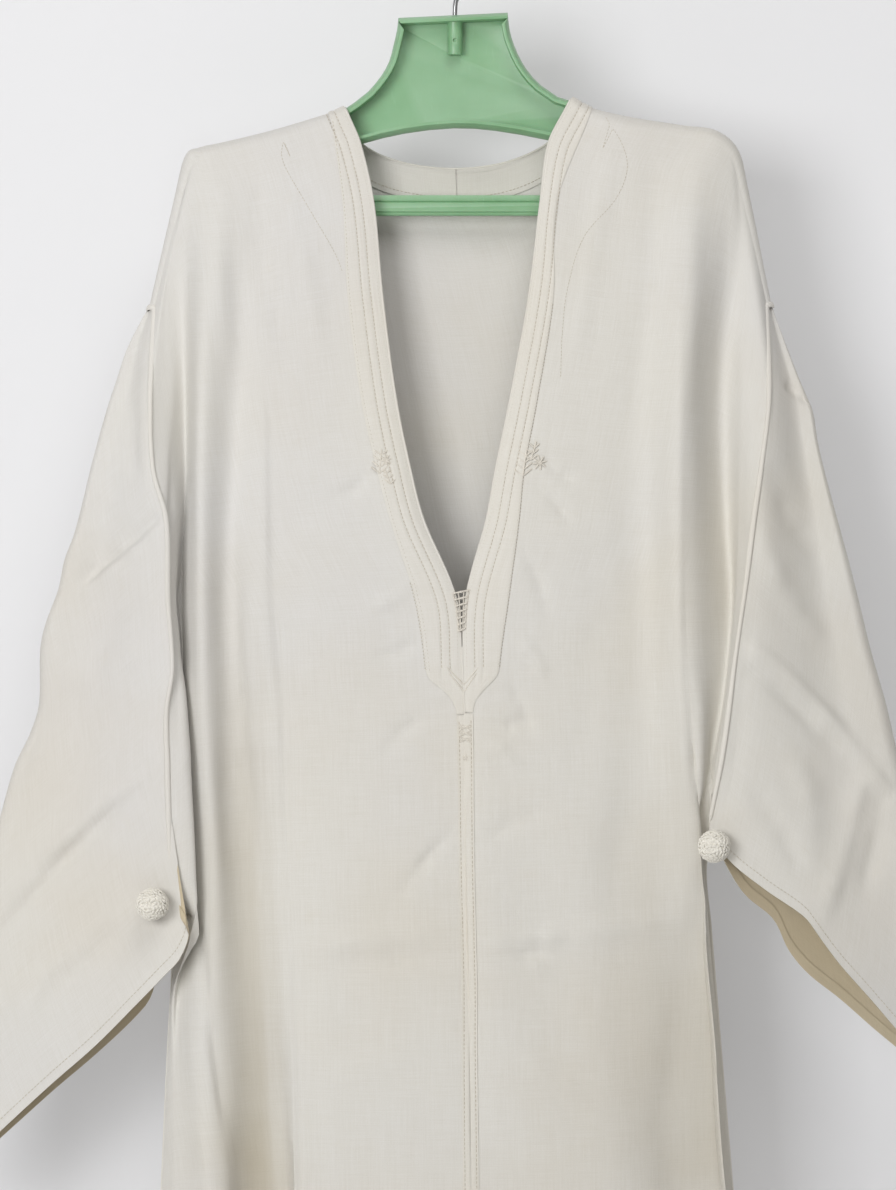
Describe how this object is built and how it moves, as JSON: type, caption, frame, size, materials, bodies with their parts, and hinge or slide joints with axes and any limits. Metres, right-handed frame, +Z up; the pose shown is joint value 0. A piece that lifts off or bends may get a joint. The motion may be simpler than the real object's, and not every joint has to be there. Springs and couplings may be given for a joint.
{
  "type": "jebba (long Tunisian robe) hanging on a moulded coat hanger",
  "caption": "Long loose cream robe with a deep slit neck, wide folded sleeves and pompoms, hanging flat on a pale green plastic coat hanger.",
  "frame": {"origin": "inside top of the hanger's hook, where it hangs on a rail", "axes": "+Z up, along the robe's length; the front of the robe faces -Y; +X runs to the right sleeve as seen from the front"},
  "size_m": [0.7732, 0.1015, 1.4788],
  "materials": {
    "cloth": "matt plain-woven cream cotton and linen",
    "thread": "matt off-white cotton thread",
    "plastic": "smooth pale mint green moulding",
    "steel": "bright drawn wire"
  },
  "bodies": {
    "root": {"front_panel_left": "cloth", "front_panel_right": "cloth", "back_panel": "cloth", "sleeve_left": "cloth", "sleeve_right": "cloth", "neck_band_left": "cloth", "neck_band_right": "cloth", "centre_band": "cloth", "back_neck_facing_left": "cloth", "back_neck_facing_right": "cloth", "neck_tack": "thread", "pompom_left": "thread", "pompom_right": "thread", "hanger_body": "plastic", "hook": "steel"}
  },
  "joints": []
}
